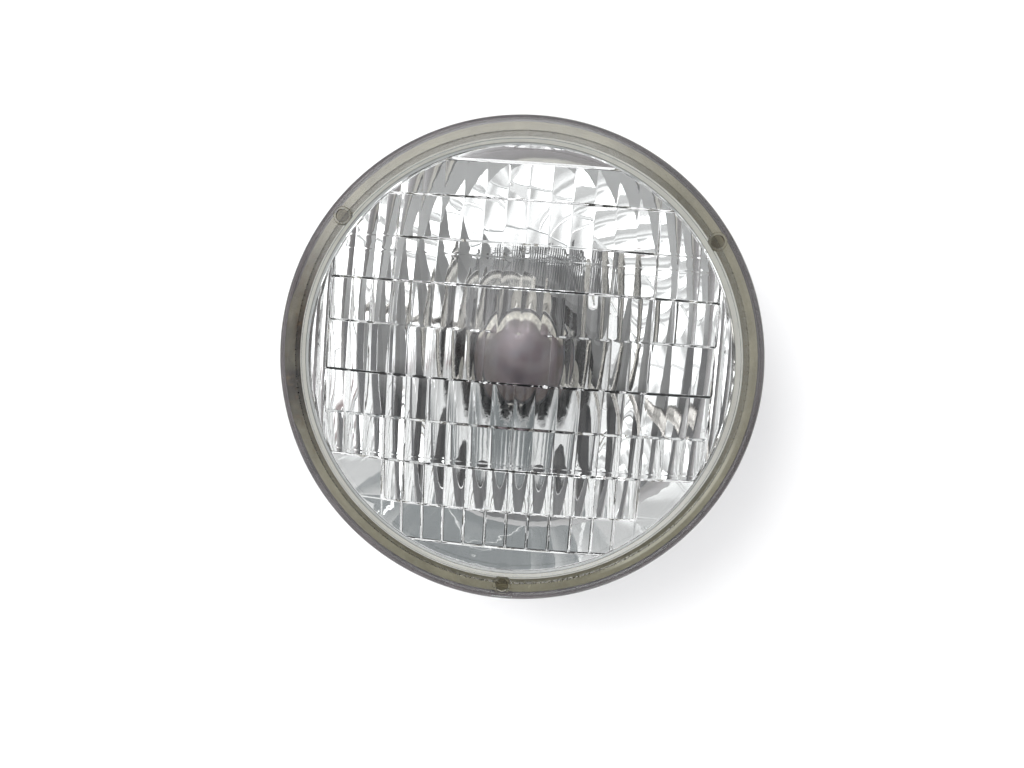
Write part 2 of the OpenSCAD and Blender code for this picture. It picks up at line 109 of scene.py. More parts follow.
# Tilt in degrees
PRISM = [5, 3, 4, 3, 2, 3, 3, 4]
SIDE_PRISM, TALL_PRISM = 3, 2
SIDE_SINK = [0, 0.7, 0, 0.35, 0.6, 0.2, 0.2, 0]
FRAME_SINK = 0.7
TOP_X, BLOCK_X, SIDE_X, FRAME_X = 8 * FLUTE_W, 6 * FLUTE_W, 9 * FLUTE_W, 3 * FLUTE_W
PANEL_X, PANEL_R = 1.5 * FLUTE_W, 50.0
MID_W, MID_SINK = (BLOCK_X - PANEL_X) / 5, 0.45
NARROW_W, NARROW_R, NARROW_REACH = 3.2, 5.0, 30.0
RIB_HALF, RIB_DEPTH, RIB_COLS, PANEL_END = 0.45, 0.4, 5, -56.0
# Half the width over which a ridge between flutes, and a wall between blocks, is rounded
RIDGE, WALL = 0.28, 0.42

# Half the side of the grid that the lens's cavity is cut from, and segments of what is turned about the axis
GRID_REACH = 64.0
TURNED = 256


# Mesh helpers

def raw_object(name, verts, faces):
    """Object from coordinates in millimetres."""
    mesh = bpy.data.meshes.new(name)
    mesh.from_pydata([tuple(c * MM for c in v) for v in verts], [], faces)
    obj = bpy.data.objects.new(name, mesh)
    bpy.context.scene.collection.objects.link(obj)
    return obj


def dress(obj, *mats):
    """These materials in place of the mesh's own."""
    obj.data.materials.clear()
    for mat in mats:
        obj.data.materials.append(mat)


def finish_mesh(obj, sharp):
    """Merges doubles, turns faces outward and shades all smooth but edges over sharp degrees."""
    bm = bmesh.new()
    bm.from_mesh(obj.data)
    bmesh.ops.remove_doubles(bm, verts=bm.verts, dist=2e-7)
    bmesh.ops.recalc_face_normals(bm, faces=bm.faces)
    limit = math.radians(sharp)
    for f in bm.faces:
        f.smooth = True
    for e in bm.edges:
        e.smooth = len(e.link_faces) == 2 and e.calc_face_angle(0) < limit
    bm.to_mesh(obj.data)
    bm.free()


def make_object(name, verts, faces, mats, slot, sharp):
    """A finished piece on the body's root."""
    obj = raw_object(name, verts, faces)
    dress(obj, *mats)
    finish_mesh(obj, sharp)
    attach(obj, "root")
    return obj


def loose_object(name, verts, faces):
    """A closed body that a boolean takes up."""
    obj = raw_object(name, verts, faces)
    bm = bmesh.new()
    bm.from_mesh(obj.data)
    bmesh.ops.recalc_face_normals(bm, faces=bm.faces)
    bm.to_mesh(obj.data)
    bm.free()
    return obj


def boolean(obj, other, operation):
    """Joins other to an object or cuts it out, and removes it."""
    mod = obj.modifiers.new("cut", "BOOLEAN")
    mod.object, mod.operation, mod.solver = other, operation, "EXACT"
    dg = bpy.context.evaluated_depsgraph_get()
    mesh = bpy.data.meshes.new_from_object(obj.evaluated_get(dg))
    obj.modifiers.clear()
    obj.data = mesh
    bpy.data.objects.remove(other)


def revolve(profile, segments):
    """Verts and faces of (radius, height) points turned about Z. A point on the axis becomes one vertex."""
    verts, rings = [], []
    for r, z in profile:
        if r < 1e-9:
            rings.append([len(verts)] * segments)
            verts.append((0, 0, z))
        else:
            rings.append(list(range(len(verts), len(verts) + segments)))
            for k in range(segments):
                a = 2 * math.pi * k / segments
                verts.append((r * math.cos(a), r * math.sin(a), z))
    faces = []
    for a, b in zip(rings, rings[1:]):
        for k in range(segments):
            n = (k + 1) % segments
            face = []
            for v in (a[k], a[n], b[n], b[k]):
                if v not in face:
                    face.append(v)
            if len(face) > 2:
                faces.append(face)
    return verts, faces


def polar(r, degrees):
    """x and y at a radius and an angle."""
    return r * math.cos(math.radians(degrees)), r * math.sin(math.radians(degrees))


def arc(cx, cz, r, a0, a1, steps):
    """Points of a profile on an arc from one angle to another, in degrees."""
    turns = [polar(r, a0 + (a1 - a0) * i / steps) for i in range(steps + 1)]
    return [(cx + x, cz + z) for x, z in turns]


# Material helpers

def mix_colours(tree, fac, a, b):
    """Colour a where the factor is 0 and b where it is 1."""
    n = tree.nodes.new("ShaderNodeMix")
    n.data_type = "RGBA"
    for sock, v in ((n.inputs["Factor"], fac), (n.inputs[6], a), (n.inputs[7], b)):
        if isinstance(v, tuple):
            sock.default_value = (*v, 1)
        else:
            tree.links.new(v, sock)
    return n.outputs[2]


class Mat:
    """A material with its nodes at hand."""

    def __init__(self, name, **sockets):
        self.mat = bpy.data.materials.new(name)
        self.mat.use_nodes = True
        self.tree = self.mat.node_tree
        self.bsdf = self.tree.nodes["Principled BSDF"]
        for key, value in sockets.items():
            self.bsdf.inputs[key.replace("_", " ")].default_value = value
        self.coord = self.tree.nodes.new("ShaderNodeTexCoord").outputs["Object"]

    def link(self, a, b):
        self.tree.links.new(a, b)

    def put(self, socket, name):
        self.link(socket, self.bsdf.inputs[name])

    def node(self, kind, **props):
        n = self.tree.nodes.new(kind)
        for k, v in props.items():
            setattr(n, k, v)
        return n

    def noise(self, scale, detail=3.0, rough=0.5):
        """Noise of so many waves in a metre."""
        n = self.node("ShaderNodeTexNoise")
        n.inputs["Scale"].default_value = scale
        n.inputs["Detail"].default_value = detail
        n.inputs["Roughness"].default_value = rough
        self.link(self.coord, n.inputs["Vector"])
        return n.outputs["Fac"]

    def ramp(self, fac, stops):
        """Colour by a value, from (position, colour) stops."""
        n = self.node("ShaderNodeValToRGB")
        els = n.color_ramp.elements
        while len(els) < len(stops):
            els.new(0.5)
        for e, (p, c) in zip(els, stops):
            e.position = p
            e.color = (*c, 1)
        self.link(fac, n.inputs["Fac"])
        return n.outputs["Color"]

    def math(self, op, a, b=None, clamp=False):
        n = self.node("ShaderNodeMath", operation=op, use_clamp=clamp)
        for i, v in enumerate((a, b)):
            if v is None:
                continue
            if isinstance(v, (int, float)):
                n.inputs[i].default_value = v
            else:
                self.link(v, n.inputs[i])
        return n.outputs[0]

    def mix(self, fac, a, b):
        return mix_colours(self.tree, fac, a, b)

    def span(self, value, a, b, lo=0.0, hi=1.0):
        """Value from a to b turned into lo to hi, and held there outside."""
        n = self.node("ShaderNodeMapRange")
        self.link(value, n.inputs["Value"])
        for key, v in (("From Min", a), ("From Max", b), ("To Min", lo), ("To Max", hi)):
            n.inputs[key].default_value = v
        return n.outputs["Result"]

    def bump(self, height, distance):
        """Bump of so many metres."""
        n = self.node("ShaderNodeBump")
        n.inputs["Distance"].default_value = distance
        n.inputs["Strength"].default_value = 1.0
        self.link(height, n.inputs["Height"])
        self.put(n.outputs["Normal"], "Normal")

    def xyz(self):
        n = self.node("ShaderNodeSeparateXYZ")
        self.link(self.coord, n.inputs[0])
        return n.outputs

    def radius(self):
        """Distance from the lamp's axis, in metres."""
        x, y, _ = self.xyz()
        return self.math("SQRT", self.math("ADD", self.math("MULTIPLY", x, x), self.math("MULTIPLY", y, y)))

    def angle(self):
        """Angle round the axis, in radians, 0 at the right and growing towards the top."""
        x, y, _ = self.xyz()
        return self.math("ARCTAN2", y, x)


# Materials

def glass_material():
    m = Mat("pressed_glass", Base_Color=(0.985, 0.995, 0.99, 1), IOR=1.51, Transmission_Weight=1.0)
    cloud = m.noise(90, 2)
    m.put(m.span(cloud, 0.45, 0.75, 0.0, 0.02), "Roughness")
    m.bump(m.noise(160, 2), 0.00002)
    return m.mat


def painted_shade_glass(name, tint):
    """Clear pressed glass tinted dark as painted shade, for the bosses' dimples and walls, where little
    light comes back.
    """
    m = Mat(name, IOR=1.51, Transmission_Weight=1.0, Roughness=0.05)
    m.put(m.ramp(m.noise(400, 2), [(0.3, tuple(0.8 * c for c in tint)), (0.7, tint)]), "Base Color")
    m.bump(m.noise(300, 2), 0.00002)
    return m.mat


def adhesive_material():
    m = Mat("adhesive", Roughness=0.55, Specular_IOR_Level=0.3)
    r = m.radius()
    angle = m.angle()
    fine = m.noise(900, 4, 0.6)
    broad = m.noise(120, 3)
    base = m.ramp(m.span(r, GROOVE_R0 * MM, FILM_R * MM), [
        (0.0, (0.20, 0.18, 0.12)), (0.45, (0.30, 0.27, 0.185)),
        (0.62, (0.42, 0.385, 0.27)), (1.0, (0.38, 0.345, 0.235))])
    base = m.mix(m.span(broad, 0.35, 0.7, 0.0, 0.45), base, (0.20, 0.18, 0.125))
    base = m.mix(m.span(fine, 0.5, 0.75, 0.0, 0.4), base, (0.50, 0.47, 0.36))
    # Darker and brown-black towards the left, where it has run out
    left = m.math("ABSOLUTE", angle)
    dark = m.math("MULTIPLY", m.span(left, 2.55, 2.95), m.span(m.noise(70, 3), 0.25, 0.6), clamp=True)
    base = m.mix(dark, base, (0.045, 0.035, 0.022))
    # Painted highlight: a light streak at the lower right
    painted_highlight_streak = m.math("MULTIPLY", m.span(m.math("ABSOLUTE", m.math("ADD", angle, 0.7)), 0.45, 0.30),
                    m.span(m.math("ABSOLUTE", m.math("SUBTRACT", r, 0.0692)), 0.0007, 0.0003), clamp=True)
    base = m.mix(m.math("MULTIPLY", painted_highlight_streak, 0.7), base, (0.85, 0.82, 0.68))
    spots = m.math("MULTIPLY", dark, m.span(m.noise(420, 2), 0.55, 0.68), clamp=True)
    base = m.mix(spots, base, (0.16, 0.10, 0.05))
    m.put(base, "Base Color")
    m.bump(fine, 0.0001)
    return m.mat


def mirror_material():
    m = Mat("bright_aluminium", Metallic=1.0)
    m.put(m.ramp(m.noise(35, 4, 0.6), [(0.3, (0.91, 0.91, 0.91)), (0.7, (0.95, 0.95, 0.95))]), "Base Color")
    m.put(m.span(m.noise(240, 3), 0.4, 0.8, 0.004, 0.03), "Roughness")
    m.bump(m.noise(60, 2), 0.00001)
    return m.mat


def land_material():
    """Land between bowl and groove: grey, a dark line, then cream, a painted reflection which is made wider
    at the right.
    """
    m = Mat("aluminised_land", Roughness=0.5)
    # Painted reflection: the cream band is made wider at the right
    right = m.math("MULTIPLY", m.math("COSINE", m.math("SUBTRACT", m.angle(), 0.45)), 0.0008)
    r = m.math("ADD", m.radius(), m.math("MAXIMUM", right, 0.0))
    tone = m.ramp(m.span(r, OPEN_R * MM, GROOVE_R0 * MM), [
        (0.0, (0.86, 0.87, 0.87)), (0.34, (0.72, 0.73, 0.72)), (0.42, (0.18, 0.17, 0.15)),
        (0.50, (0.97, 0.95, 0.86)), (1.0, (0.98, 0.97, 0.90))])
    m.put(m.mix(m.span(m.noise(140, 3), 0.4, 0.8, 0.0, 0.25), tone, (0.6, 0.58, 0.5)), "Base Color")
    m.bump(m.noise(300, 2), 0.00003)
    return m.mat


def bowl_back_material():
    m = Mat("coated_glass_back", Metallic=0.85, Coat_Weight=1.0, Coat_Roughness=0.06)
    cloud = m.noise(28, 5, 0.65)
    tint = m.ramp(cloud, [(0.25, (0.50, 0.51, 0.52)), (0.55, (0.66, 0.67, 0.68)), (0.8, (0.72, 0.72, 0.71))])
    specks = m.span(m.noise(520, 2), 0.68, 0.74, 0.0, 0.6)
    m.put(m.mix(specks, tint, (0.32, 0.31, 0.29)), "Base Color")
    m.put(m.span(cloud, 0.3, 0.8, 0.22, 0.42), "Roughness")
    m.bump(m.noise(45, 3), 0.00025)
    return m.mat


def rim_material():
    """The bare pressed-glass flange behind the lens: dark, with fine turned lines."""
    m = Mat("bare_glass_flange", Roughness=0.12, Coat_Weight=0.6, Coat_Roughness=0.04)
    line_spacing = 0.00062
    lines = m.math("SINE", m.math("MULTIPLY", m.radius(), 2 * math.pi / line_spacing))
    tone = m.ramp(m.noise(55, 4, 0.6), [(0.3, (0.045, 0.034, 0.038)), (0.7, (0.11, 0.085, 0.09))])
    m.put(m.mix(m.span(lines, 0.55, 1.0, 0.0, 0.75), tone, (0.015, 0.012, 0.013)), "Base Color")
    m.bump(lines, 0.00003)
    return m.mat


def metal_material(name, dark, light, rough, scale=700, stain=(0.2, 0.17, 0.13), share=0.25, bump=0.00002):
    """Metal in two tones of fine grain, with a share of stain."""
    m = Mat(name, Metallic=1.0)
    fine = m.noise(scale, 4, 0.6)
    m.put(m.mix(m.math("MULTIPLY", m.span(m.noise(170, 4, 0.6), 0.5, 0.75), share),
                m.ramp(fine, [(0.3, dark), (0.7, light)]), stain), "Base Color")
    m.put(m.span(fine, 0.3, 0.7, rough * 0.75, rough * 1.3), "Roughness")
    m.bump(fine, bump)
    return m.mat


def tungsten_material():
    m = Mat("matte_tungsten", Roughness=0.8)
    m.put(m.ramp(m.noise(900, 3), [(0.3, (0.36, 0.36, 0.37)), (0.7, (0.46, 0.46, 0.47))]), "Base Color")
    m.bump(m.noise(1500, 2), 0.00001)
    return m.mat


def shield_material():
    """Sheet tinted by heat in front, with a painted highlight as a cream band near the upper edge, and a
    black edge.
    """
    m = Mat("heat_tinted_sheet_painted_light", Coat_Weight=0.5, Coat_Roughness=0.12)
    r = m.radius()
    tint = m.ramp(m.span(r, 0.0, SHIELD_R * MM), [
        (0.0, (0.14, 0.105, 0.115)), (0.55, (0.115, 0.085, 0.095)), (0.78, (0.075, 0.055, 0.05)),
        (0.93, (0.07, 0.05, 0.045)), (0.955, (0.012, 0.01, 0.01)), (1.0, (0.012, 0.01, 0.01))])
    # Painted highlight: a cream band near the upper edge of the front
    band = m.math("MULTIPLY", m.span(r, 0.0114, 0.0122), m.span(r, 0.0142, 0.0138), clamp=True)
    band = m.math("MULTIPLY", band, m.span(m.xyz()[1], 0.004, 0.007), clamp=True)
    cream = m.ramp(m.noise(700, 2), [(0.35, (0.34, 0.32, 0.28)), (0.65, (0.66, 0.63, 0.55))])
    tint = m.mix(band, tint, cream)
    tint = m.mix(m.span(m.noise(220, 4, 0.6), 0.45, 0.75, 0.0, 0.4), tint, (0.10, 0.11, 0.14))
    face = m.node("ShaderNodeSeparateXYZ")
    m.link(m.node("ShaderNodeNewGeometry").outputs["True Normal"], face.inputs[0])
    facing = face.outputs[2]
    front, under = m.span(facing, 0.4, 0.6), m.span(facing, -0.4, -0.6)
    top = m.span(m.xyz()[1], -0.002, 0.002)
    # Bright underside and whitish wall: inside, dark at the top and light below; outside, painted light at
    # the top and painted shade below
    wall_r = (SHIELD_R - SHIELD_T / 2) * MM
    inner = m.span(r, wall_r, wall_r - 0.0001)
    outside = m.mix(top, (0.20, 0.20, 0.21), (0.86, 0.86, 0.86))
    wall = m.mix(inner, outside, m.mix(top, (0.88, 0.88, 0.88), (0.05, 0.05, 0.055)))
    m.put(m.mix(front, m.mix(under, wall, (0.90, 0.90, 0.90)), tint), "Base Color")
    bright = m.math("MAXIMUM", front, under)
    m.put(bright, "Metallic")
    # Rough on the walls, smooth below and between the two in front
    rough = m.math("ADD", m.math("MULTIPLY", bright, -0.44), 0.5)
    m.put(m.math("ADD", m.math("MULTIPLY", front, 0.27), rough), "Roughness")
    m.bump(m.noise(900, 3), 0.00002)
    return m.mat


def tube_glass_material():
    m = Mat("fire_sealed_glass", Base_Color=(0.95, 0.98, 0.97, 1), IOR=1.5, Transmission_Weight=1.0)
    cloud = m.noise(300, 3)
    m.put(m.span(cloud, 0.4, 0.7, 0.01, 0.08), "Roughness")
    m.bump(cloud, 0.00008)
    return m.mat


def floor_material():
    m = Mat("pale_table", Roughness=0.6)
    m.put(m.ramp(m.noise(6, 4), [(0.3, (0.86, 0.86, 0.86)), (0.7, (0.90, 0.90, 0.90))]), "Base Color")
    m.bump(m.noise(500, 3), 0.00005)
    return m.mat


glass = glass_material()
# Bosses' dimples and walls: glass tinted dark as painted shade
dimple_glass = painted_shade_glass("dimple_glass", (0.30, 0.27, 0.19))
wall_glass = painted_shade_glass("boss_wall_glass", (0.50, 0.48, 0.40))
adhesive = adhesive_material()
mirror = mirror_material()
bowl_back = bowl_back_material()
flange = rim_material()
land = land_material()
node_materials = {
    "ferrule": metal_material("nickel_iron_sheet", (0.40, 0.38, 0.34), (0.58, 0.56, 0.51), 0.35),
    "terminal": metal_material("stamped_brass", (0.60, 0.47, 0.22), (0.76, 0.62, 0.33), 0.28,
                               stain=(0.25, 0.15, 0.07), share=0.5),
    "solder": metal_material("soft_solder", (0.50, 0.51, 0.52), (0.66, 0.67, 0.68), 0.4,
                             scale=300, bump=0.0001),
    "post": metal_material("nickel_wire", (0.45, 0.43, 0.40), (0.62, 0.60, 0.56), 0.25),
    "shield_arm": metal_material("arm_wire", (0.42, 0.40, 0.38), (0.60, 0.58, 0.55), 0.28),
    "filament_": tungsten_material(),
    "exhaust_tip": tube_glass_material(),
}


# Lens

def inner_z(x, y):
    """Height of the cavity's sphere, which the flutes' ridges start from."""
    return DOME_CZ + math.sqrt(INNER_R**2 - x * x - y * y)


def smooth_z(x, y, extra=0.0):
    """Height of the smooth segments and the panel, and of the ribs' floor with extra."""
    return DOME_CZ + math.sqrt((SMOOTH_R + extra)**2 - x * x - y * y)


def block(y0, y1, x0, count, r, w=FLUTE_W, prism=0, sink=0):
    """Flutes side by side: the centres of their arcs in the row's own profile, and how the row is tilted."""
    mid = (y0 + y1) / 2
    rest = inner_z(0, mid)
    depth = r - math.sqrt(r * r - w * w / 4)
    ridges = [inner_z(x0 + w * i, mid) - rest - depth for i in range(count + 1)]
    cells = []
    for i in range(count):
        cx, cz = w, ridges[i + 1] - ridges[i]
        long = math.hypot(cx, cz)
        fall = math.sqrt(r * r - long * long / 4)
        cells.append((x0 + w * (i + 0.5) + cz / long * fall,
                      (ridges[i] + ridges[i + 1]) / 2 - cx / long * fall))
    tilt = math.radians(prism) - math.asin(mid / INNER_R)
    return dict(y0=y0, y1=y1, x0=x0, x1=x0 + w * count, w=w, r=r, cells=cells,
                mid=mid, base=rest - sink, tilt=tilt)


def flute_height(b, x, y):
    """Height of a block's flutes, with the ridges between them rounded."""
    def scallop(at):
        i = min(max(int((at - b["x0"]) / b["w"]), 0), len(b["cells"]) - 1)
        cx, cz = b["cells"][i]
        return cz + math.sqrt(max(b["r"]**2 - (at - cx)**2, 0))

    ridge = b["x0"] + round((x - b["x0"]) / b["w"]) * b["w"]
    near = (x - ridge) / RIDGE
    if abs(near) < 1 and b["x0"] < ridge < b["x1"]:
        left, right = scallop(ridge - RIDGE), scallop(ridge + RIDGE)
        fall = (left + right) / 2 - scallop(ridge)
        u = left + (right - left) * (near + 1) / 2 - fall * 0.5 * (1 - near * near)
    else:
        u = scallop(x)
    s, c = math.sin(b["tilt"]), math.cos(b["tilt"])
    return b["base"] + u * c + (y - b["mid"] + u * s) / c * s


def all_blocks():
    """Every block of flutes. Where two overlap, the one that comes first counts."""
    made = []

    def pair(y0, y1, x0, count, r, w=FLUTE_W, **kw):
        made.append(block(y0, y1, x0, count, r, w, **kw))
        made.append(block(y0, y1, -x0 - w * count, count, r, w, **kw))

    made.append(block(EDGES[1], EDGES[0], -TOP_X, 16, prism=PRISM[0], r=ROW_R[0]))
    made.append(block(EDGES[2], EDGES[1], -BLOCK_X, 12, prism=PRISM[1], r=ROW_R[1]))
    pair(EDGES[3], EDGES[2], FRAME_X, 3, prism=PRISM[2], r=ROW_R[2])
    made.append(block(EDGES[3], EDGES[2], -FRAME_X, 6, sink=FRAME_SINK, r=ROW_R[2]))
    for i in (3, 5, 6):
        made.append(block(EDGES[i + 1], EDGES[i], -BLOCK_X, 12, prism=PRISM[i], r=ROW_R[i]))
        pair(EDGES[i + 1], EDGES[i], BLOCK_X, 3, prism=SIDE_PRISM, sink=SIDE_SINK[i], r=SIDE_R[i])
    made.append(block(MID_BOTTOM, MID_TOP, -PANEL_X, 1, w=2 * PANEL_X, r=PANEL_R,
                      prism=PRISM[4], sink=MID_SINK))
    pair(MID_BOTTOM, MID_TOP, PANEL_X, 5, w=MID_W, prism=PRISM[4], sink=MID_SINK, r=ROW_R[4])
    pair(MID_BOTTOM, MID_TOP, BLOCK_X, 3, prism=SIDE_PRISM, sink=SIDE_SINK[4], r=SIDE_R[4])
    made.append(block(EDGES[8], EDGES[7], -BLOCK_X, 12, prism=PRISM[7], r=ROW_R[7]))
    pair(EDGES[3], EDGES[1], BLOCK_X, 3, prism=TALL_PRISM, sink=SIDE_SINK[1], r=SIDE_R[1])
    pair(-NARROW_REACH, NARROW_REACH, SIDE_X, 2, w=NARROW_W, r=NARROW_R)
    return made


BLOCKS = all_blocks()
WALLS_Y = EDGES + [NARROW_REACH, -NARROW_REACH]
WALLS_X = [-SIDE_X, -BLOCK_X, BLOCK_X, SIDE_X]


def rounded(height, at, walls):
    """Height at a place, blended from side to side where a wall is near."""
    wall = min(walls, key=lambda w: abs(w - at))
    if abs(at - wall) >= WALL:
        return height(at)
    t = ((at - wall) / WALL + 1) / 2
    t = t * t * (3 - 2 * t)
    return height(wall - WALL) * (1 - t) + height(wall + WALL) * t


def cavity_z(x, y):
    """Cavity's height, with each row edge and block wall rounded over."""
    return rounded(lambda v: rounded(lambda u: sharp_z(u, v), x, WALLS_X), y, WALLS_Y)


def sharp_z(x, y):
    """Cavity's height at a place, before its walls are rounded."""
    for b in BLOCKS:
        if b["x0"] < x < b["x1"] and b["y0"] < y < b["y1"]:
            return flute_height(b, x, y)
    k = round(x / FLUTE_W)
    rib = 0.0
    if PANEL_END < y < EDGES[8] and abs(k) <= RIB_COLS:
        rib = 1 - ((x - k * FLUTE_W) / RIB_HALF)**2
    if abs(x) < RIB_COLS * FLUTE_W:
        rib = max(rib, 1 - ((y - PANEL_END) / RIB_HALF)**2)
    return smooth_z(x, y, RIB_DEPTH * max(rib, 0.0))


def grid_lines():
    """x and y lines of the cavity's mesh, close together at ridges and walls."""
    def near(lines, at, reach, shares):
        lines.update(round(at + reach * j, 4) for j in shares)

    gap, step, clear = 0.02, 1.6, 0.6
    both, five = (-1, 1), (-1, -0.5, 0, 0.5, 1)
    six = (-1.0, -0.6, -0.2, 0.2, 0.6, 1.0)
    xs, ys = set(), set()
    for k in range(-9, 10):
        near(xs, k * FLUTE_W, RIDGE, five)
    for k in range(-9, 9):
        xs |= {round((k + j / 12) * FLUTE_W, 4) for j in range(1, 12)}
    for s in both:
        for k in range(6):
            near(xs, s * (PANEL_X + k * MID_W), RIDGE, five)
        for wall in (FRAME_X, PANEL_X):
            near(xs, s * wall, gap, both)
        for wall in (BLOCK_X, SIDE_X):
            near(xs, s * wall, WALL, six)
        xs |= {round(s * (SIDE_X + j * NARROW_W / 8), 4) for j in range(1, 16)}
        for k in range(RIB_COLS + 1):
            near(xs, s * k * FLUTE_W, RIB_HALF, both)
    for wall in WALLS_Y:
        near(ys, wall, WALL, six)
    near(ys, PANEL_END, RIB_HALF, five)
    y = -GRID_REACH
    while y < GRID_REACH:
        if min(abs(y - wall) for wall in WALLS_Y + [PANEL_END]) > clear:
            ys.add(round(y, 4))
        y += step
    return sorted(xs), sorted(ys)


def join_rings(bm, ring_a, ring_b):
    """Triangles between two rings round the axis, walked by angle."""
    full = 2 * math.pi
    turn = [sorted((math.atan2(v.co.y, v.co.x) % full, i, v) for i, v in enumerate(ring))
            for ring in (ring_a, ring_b)]
    size = [len(t) for t in turn]
    at = [0, 0]

    def next_angle(k):
        laps, i = divmod(at[k] + 1, size[k])
        return turn[k][i][0] + laps * full

    while at[0] < size[0] or at[1] < size[1]:
        k = 0 if at[1] >= size[1] or (at[0] < size[0] and next_angle(0) <= next_angle(1)) else 1
        a, b = turn[0][at[0] % size[0]][2], turn[1][at[1] % size[1]][2]
        at[k] += 1
        bm.faces.new([a, b, turn[k][at[k] % size[k]][2]])


def outer_profile():
    """The lens's outer side, from the rear face round tongue, rim and step to the crown."""
    tongue0, tongue1 = GROOVE_R0 + BOND, GROOVE_R1 - BOND
    tongue_z = SEAT_T - GROOVE_DEPTH + BOND
    flat = LAMP_R - EDGE_R
    corner_x = STEP_R - STEP_ROUND
    corner_z = DOME_CZ + math.sqrt((DOME_R - STEP_ROUND)**2 - corner_x**2)
    tilt = math.degrees(math.asin(corner_x / (DOME_R - STEP_ROUND)))
    profile = [(tongue0 - 1.2, LENS_Z0), (tongue0, LENS_Z0), (tongue0, tongue_z),
               (tongue1, tongue_z), (tongue1, LENS_Z0)]
    profile += arc(flat, LENS_Z0 + EDGE_R, EDGE_R, -90, 0, 12)
    profile += arc(flat, LENS_Z1 - EDGE_R, EDGE_R, 0, 90, 12)
    profile += [(STEP_R + STEP_FILLET, LENS_Z1), (STEP_R, LENS_Z1 + STEP_FILLET)]
    profile += arc(corner_x, corner_z, STEP_ROUND, 0, 90 - tilt, 12)
    edge_r = profile[-1][0]
    rings = 26
    for i in range(1, rings + 1):
        r = edge_r * (1 - i / rings)
        profile.append((r, DOME_CZ + math.sqrt(DOME_R**2 - r**2)))
    return profile


def lens_mesh():
    """The fluted cavity, cut round from a grid, with its skirt and the turned outer side."""
    xs, ys = grid_lines()
    xs = [-GRID_REACH] + xs + [GRID_REACH]
    index, verts = {}, []
    inside = {(i, j): math.hypot(x, y) < OPEN_R - 0.01 for i, x in enumerate(xs) for j, y in enumerate(ys)}

    def vert(i, j):
        if (i, j) not in index:
            x, y = xs[i], ys[j]
            if not inside[i, j]:
                k = OPEN_R / math.hypot(x, y)
                x, y = x * k, y * k
            index[i, j] = len(verts)
            verts.append((x, y, cavity_z(x, y)))
        return index[i, j]

    faces = []
    for i in range(len(xs) - 1):
        for j in range(len(ys) - 1):
            corners = ((i, j), (i + 1, j), (i + 1, j + 1), (i, j + 1))
            if any(inside[c] for c in corners):
                faces.append([vert(*c) for c in corners])
    bm = bmesh.new()

    def add(verts, faces):
        made = [bm.verts.new(v) for v in verts]
        for f in faces:
            bm.faces.new([made[k] for k in f])
        return made

    add(verts, faces)
    bmesh.ops.remove_doubles(bm, verts=bm.verts, dist=1e-3)
    # Skirt: the open edge goes down to the lens's rear face
    rim = [e for e in bm.edges if len(e.link_faces) == 1]
    low = bmesh.ops.extrude_edge_only(bm, edges=rim)["geom"]
    bottom = [g for g in low if isinstance(g, bmesh.types.BMVert)]
    for v in bottom:
        k = OPEN_R / math.hypot(v.co.x, v.co.y)
        v.co = (v.co.x * k, v.co.y * k, LENS_Z0)
    outer = add(*revolve(outer_profile(), TURNED))
    join_rings(bm, bottom, outer[:TURNED])
    bmesh.ops.recalc_face_normals(bm, faces=bm.faces)
    mesh = bpy.data.meshes.new("lens_body")
    for v in bm.verts:
        v.co *= MM
    bm.to_mesh(mesh)
    bm.free()
    return mesh


def boss_profile():
    """Aiming boss with its dimple, sunk a little into the rim's face."""
    foot, top, fillet = LENS_Z1 - 1.5, LENS_Z1 + BOSS_H, 0.25
    dimple = top - DIMPLE_DEPTH
    profile = [(0, foot), (BOSS_R, foot)] + arc(BOSS_R - fillet, top - fillet, fillet, 0, 90, 10)
    return profile + [(BOSS_R - 0.8, top), (BOSS_R - 0.95, dimple), (0, dimple)]


lens = bpy.data.objects.new("lens_glass_body", lens_mesh())
bpy.context.scene.collection.objects.link(lens)
boss_places = [polar(BOSS_AT, a) for a in BOSS_ANGLES]
for x, y in boss_places:
    boss = loose_object("boss", *revolve(boss_profile(), 48))
    boss.location = (x * MM, y * MM, 0)
    bpy.context.view_layer.update()
    boolean(lens, boss, "UNION")
notch_x, notch_y = (-NOTCH_W / 2, NOTCH_W / 2), (-LAMP_R - 1, -NOTCH_IN)
notch_z = (LENS_Z1 - NOTCH_DEPTH, LENS_Z1 + NOTCH_DEPTH)
notch = loose_object("notch", [(x, y, z) for z in notch_z for y in notch_y for x in notch_x],
                     [(0, 1, 3, 2), (4, 6, 7, 5), (0, 4, 5, 1), (2, 3, 7, 6), (0, 2, 6, 4), (1, 5, 7, 3)])
boolean(lens, notch, "DIFFERENCE")
dress(lens, glass, dimple_glass, wall_glass)
for p in lens.data.polygons:
    x, y, z = (c / MM for c in p.center)
    off = min(math.hypot(x - at_x, y - at_y) for at_x, at_y in boss_places)
    p.material_index = 0
    # Bosses: dimple and wall in glass tinted dark as painted shade, and clear glass between the two
    if z > LENS_Z1 + 0.05 and off < BOSS_R + 0.05:
        p.material_index = 1 if off < BOSS_R - 0.7 else 2 if off > BOSS_R - 0.2 else 0
finish_mesh(lens, 11)
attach(lens, "root")
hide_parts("lens")


# Reflector

def bowl_z(r):
    """Height of the bowl's mirror at a radius."""
    return VERTEX_Z + r * r / (4 * FOCAL)


def bowl_back_point(r):
    """Point of the bowl's back, square to the mirror at a radius."""
    slope = r / (2 * FOCAL)
    n = math.sqrt(1 + slope * slope)
    return (r + BOWL_T * slope / n, bowl_z(r) - BOWL_T / n)


